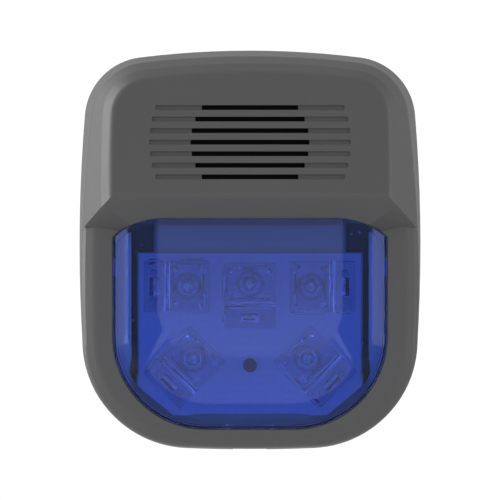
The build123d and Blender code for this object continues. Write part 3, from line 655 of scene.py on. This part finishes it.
CAVITY = [(0.0, 25.25), (3.2, 25.25), (3.0, 27.0), (2.3, 27.7), (1.1, 27.95), (0.0, 27.85)]
MIRROR_RING = [(4.0, 25.8), (4.7, 28.6), (5.6, 25.8), (4.0, 25.8)]
INNER_RING = [(0.9, 28.6), (1.45, 29.12), (2.0, 28.6), (0.9, 28.6)]
SINK = [(0.0, 25.5), (1.3, 25.5), (0.0, 26.735)]
PILLOW = [(0.0, 28.3), (0.55, 28.3), (0.0, 28.82)]
PILLOWS = [(3.0, 0.5), (1.9, 2.5), (-1.0, 3.0), (-3.0, 1.0), (-2.3, -2.2), (0.8, -3.1), (2.4, -1.9)]
for where in OPTICS:
    shape = bmesh.new()
    optic_body(shape, {"left": -1.0, "right": 1.0}.get(where, 0.0))
    emitter_axis = at(LED_OUT, 0.0, 0.0)
    hollowed(shape, turned(shape, CAVITY, emitter_axis, steps=28))
    hollowed(shape, turned(shape, MIRROR_RING, emitter_axis, steps=12))
    hollowed(shape, turned(shape, INNER_RING, emitter_axis, steps=4))
    for along, across in PILLOWS:
        hollowed(shape, turned(shape, PILLOW, at(LED_OUT + along, 0.0, across), steps=8))
    wedge(shape, 6.3, 10.0, 25.5, 27.5, -3.3, 3.3)
    wedge(shape, -10.9, -9.5, 26.0, 27.0, -6.4, 6.4)
    wedge(shape, 1.2, 2.2, 26.2, 27.2, -7.6, 7.6)
    for side in (-1.0, 1.0):
        hollowed(shape, turned(shape, SINK, at(8.2, 0.0, 4.9 * side), steps=16))
        hollowed(shape, turned(shape, SINK, at(-9.0, 0.0, 7.4 * side), steps=6))
        hollowed(shape, turned(shape, SINK, at(0.6, 0.0, 6.6 * side), steps=6))
    bmesh.ops.transform(shape, matrix=placed(where), verts=list(shape.verts))
    piece("collimator_" + where, shape, clear_acrylic, "head", "optic_clear", "optic_" + where)

# ---- Sounder ------------------------------------------------------------------------------
# Piezo horn behind the grille: a black moulded cup and clamping cap hold a thin brass plate
# with a grey ceramic disc. Two insulated leads run back to the main board.
sounder_plastic = finish("sounder_plastic", moulded, {
    "Colour": (0.012, 0.012, 0.013, 1.0), "Grain": 3600.0, "Mottle": 0.3, "Roughness": 0.45}, bump=0.12)
ceramic = finish("ceramic", moulded, {
    "Colour": (0.56, 0.55, 0.50, 1.0), "Grain": 8000.0, "Mottle": 0.16, "Roughness": 0.6}, bump=0.2)
dress(sounder_plastic, "sounder_cup", "sounder_cap")
dress(brass, "piezo_plate")
dress(ceramic, "piezo_ceramic")

# ---- Main board ---------------------------------------------------------------------------
# Green glass-epoxy board with its driver circuit: gull-wing chips, two electrolytic cans and
# a wound ferrite drum, all soldered to its front.
green_mask = finish("green_mask", board_face, {
    "Mask": (0.012, 0.085, 0.036, 1.0), "Copper": (0.022, 0.17, 0.06, 1.0)},
    bump=0.3, bump_size=0.00005)
dress(green_mask, "main_board")
MAIN_FRONT = 18.6

lead_sleeve = finish("lead_sleeve", moulded, {
    "Colour": (0.45, 0.02, 0.02, 1.0), "Grain": 6000.0, "Roughness": 0.35}, bump=0.05)
SOUNDER_Z = 37.9
WIRE_RADIUS = 0.22
shape = bmesh.new()
for x, tip in ((-3.0, 26.2), (-15.0, 26.5)):
    turned(shape, [(0.0, MAIN_FRONT), (WIRE_RADIUS, MAIN_FRONT), (WIRE_RADIUS, MAIN_FRONT + 0.5),
                   (0.46, MAIN_FRONT + 0.5), (0.5, MAIN_FRONT + 0.7), (0.5, tip - 0.9), (0.46, tip - 0.7),
                   (WIRE_RADIUS, tip - 0.7), (WIRE_RADIUS, tip), (0.0, tip)],
           at(x, 0.0, SOUNDER_Z), steps=20)
outward(shape)
piece("sounder_leads", shape, lead_sleeve, "head", "lead_sleeve", "piezo_leads")

chip_epoxy = finish("chip_epoxy", moulded, {
    "Colour": (0.018, 0.018, 0.019, 1.0), "Grain": 7000.0, "Mottle": 0.3, "Roughness": 0.55}, bump=0.15)
CHIPS = (((-8, -32), (4, -20), 20.4, 0.8), ((14, -30), (20, -25), 20.2, 1.27),
         ((-26, -30), (-20, -22), 20.8, 1.27), ((12, -18), (16, -15), 19.8, 0.95))
LEG_HALF = 0.16
LEG = ((0.45, 0.65, 0.0, 0.85), (0.0, 0.6, 0.0, 0.16), (0.5, 1.2, 0.69, 0.85))
shape = bmesh.new()
for (x0, z0), (x1, z1), top, pitch in CHIPS:
    block(shape, (x0 + 1.0, MAIN_FRONT + 0.15, z0 + 0.1), (x1 - 1.0, top, z1 - 0.1), 0.15)
    count = int((z1 - z0 - 0.8) / pitch)
    for n in range(count):
        z = (z0 + z1) / 2.0 + (n - (count - 1) / 2.0) * pitch
        for edge, way in ((x0, 1.0), (x1, -1.0)):
            for start, end, low, high in LEG:
                block(shape, (edge + way * start, MAIN_FRONT + low, z - LEG_HALF),
                      (edge + way * end, MAIN_FRONT + high, z + LEG_HALF))
outward(shape)
chips = piece("leaded_chips", shape, chip_epoxy, "head", "chip_black", "board_chips")
chips.data.materials.append(tinned_copper)
for face in chips.data.polygons:
    inside = any(x0 + 0.95 < face.center.x / MM < x1 - 0.95 and z0 < face.center.z / MM < z1
                 for (x0, z0), (x1, z1), top, pitch in CHIPS)
    face.material_index = 0 if inside else 1

can_sleeve = finish("can_sleeve", moulded, {
    "Colour": (0.012, 0.016, 0.045, 1.0), "Grain": 2500.0, "Mottle": 0.15, "Roughness": 0.3}, bump=0.05)
can_metal = finish("can_metal", metal, {
    "Colour": (0.72, 0.72, 0.72, 1.0), "Roughness": 0.26}, bump=0.1, bump_size=0.00003, Metallic=1.0)
CAN_X = 34.0
CANS = {40.0: 10.9, 53.0: 8.4}
shape = bmesh.new()
for z, height in CANS.items():
    top = MAIN_FRONT + height
    middle = at(CAN_X, 0.0, z)
    turned(shape, [(4.1, top - 0.18), (4.2, top - 0.02), (4.55, top), (4.9, top - 0.25), (5.0, top - 0.7),
                   (5.0, MAIN_FRONT + 1.9), (4.72, MAIN_FRONT + 1.5), (4.72, MAIN_FRONT + 1.2),
                   (5.0, MAIN_FRONT + 0.8), (4.9, MAIN_FRONT + 0.2), (4.6, MAIN_FRONT), (0.0, MAIN_FRONT)],
           middle, steps=40)
    recess(shape, cross(3.2, 0.12), 4.1, top - 0.18, top - 0.36, middle)
outward(shape)
cans = piece("sleeved_cans", shape, can_sleeve, "head", "capacitor_sleeve", "capacitors")
cans.data.materials.append(can_metal)
for face in cans.data.polygons:
    reach = min(math.hypot(face.center.x / MM - CAN_X, face.center.z / MM - z) for z in CANS)
    bare_end = reach < 4.15 and face.normal.y < 0.5 and -face.center.y / MM > 26.0
    face.material_index = 1 if bare_end else 0

ferrite = finish("ferrite", moulded, {
    "Colour": (0.045, 0.044, 0.046, 1.0), "Grain": 5200.0, "Mottle": 0.35, "Roughness": 0.62}, bump=0.35)
enamelled_copper = finish("enamelled_copper", metal, {
    "Colour": (0.66, 0.24, 0.08, 1.0), "Tarnish": (0.34, 0.09, 0.03, 1.0), "Roughness": 0.22},
    bump=0.1, bump_size=0.00003, Metallic=1.0)
dress(ferrite, "inductor_core")
shape = bmesh.new()
drum = at(-34.0, 0.0, 40.0)
WIRE = 0.3
turned(shape, [(3.05, 20.25), (4.8, 20.25), (4.8, 25.95), (3.05, 25.95), (3.05, 20.25)], drum)
ring_of_wire = [(5.08 + WIRE * math.cos(a * math.pi / 4.0), 20.56 + WIRE * math.sin(a * math.pi / 4.0))
                for a in range(8)]
coil(shape, ring_of_wire, drum, FORWARD, 8.5, 0.6, 28)
outward(shape)
piece("wound_coil", shape, enamelled_copper, "head", "copper_wire", "inductor_winding")

# ---- Setting switches ---------------------------------------------------------------------
# A slide switch sets the brightness and a red three-way switch the sound, both reached from
# behind through windows in the cover. Their bodies and knobs are small mouldings.
switch_plastic = finish("switch_plastic", moulded, {
    "Colour": (0.03, 0.03, 0.032, 1.0), "Grain": 5200.0, "Mottle": 0.25, "Roughness": 0.4}, bump=0.1)
red_switch = finish("red_switch", moulded, {
    "Colour": (0.42, 0.020, 0.016, 1.0), "Grain": 5200.0, "Mottle": 0.12, "Roughness": 0.36}, bump=0.1)
knob_plastic = finish("knob_plastic", moulded, {
    "Colour": (0.78, 0.77, 0.74, 1.0), "Grain": 5200.0, "Mottle": 0.05, "Roughness": 0.36}, bump=0.1)
dress(switch_plastic, "candela_switch")
dress(red_switch, "mode_switch")


KNOB_BACK = 16.1


def ridged_knob(name, node, front, soft, across):
    """A switch knob that stands for its node: a softened block with three finger ridges."""
    shape = bmesh.new()
    lowest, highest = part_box(node)
    x0, x1 = lowest[0] / MM, highest[0] / MM
    z0, z1 = lowest[2] / MM, highest[2] / MM
    block(shape, (x0, KNOB_BACK, z0), (x1, front, z1), soft)
    for n in (-1.0, 0.0, 1.0):
        if across:
            middle, half = (x0 + x1) / 2.0 + n * (x1 - x0) * 0.28, (x1 - x0) * 0.07
            block(shape, (middle - half, front - 0.1, z0 + 0.2), (middle + half, front + 0.3, z1 - 0.2),
                  half * 0.4)
        else:
            middle, half = (z0 + z1) / 2.0 + n * (z1 - z0) * 0.26, (z1 - z0) * 0.07
            block(shape, (x0 + 0.15, front - 0.1, middle - half), (x1 - 0.15, front + 0.2, middle + half),
                  half * 0.4)
    outward(shape)
    piece(name, shape, knob_plastic, node, "knob_white", node)


ridged_knob("candela_slider", "candela_knob", 12.5, 0.25, True)
for number in (1, 2, 3):
    ridged_knob("mode_slider_%d" % number, "mode_knob_%d" % number, 14.0, 0.12, False)

# ---- Rear cover ---------------------------------------------------------------------------
# Flat black moulding that closes the head, with hooks for the hinge bars and windows for the
# switches and pins.
cover_plastic = finish("cover_plastic", moulded, {
    "Colour": (0.020, 0.020, 0.021, 1.0), "Grain": 2600.0, "Mottle": 0.25, "Roughness": 0.48}, bump=0.14)
dress(cover_plastic, "rear_cover")
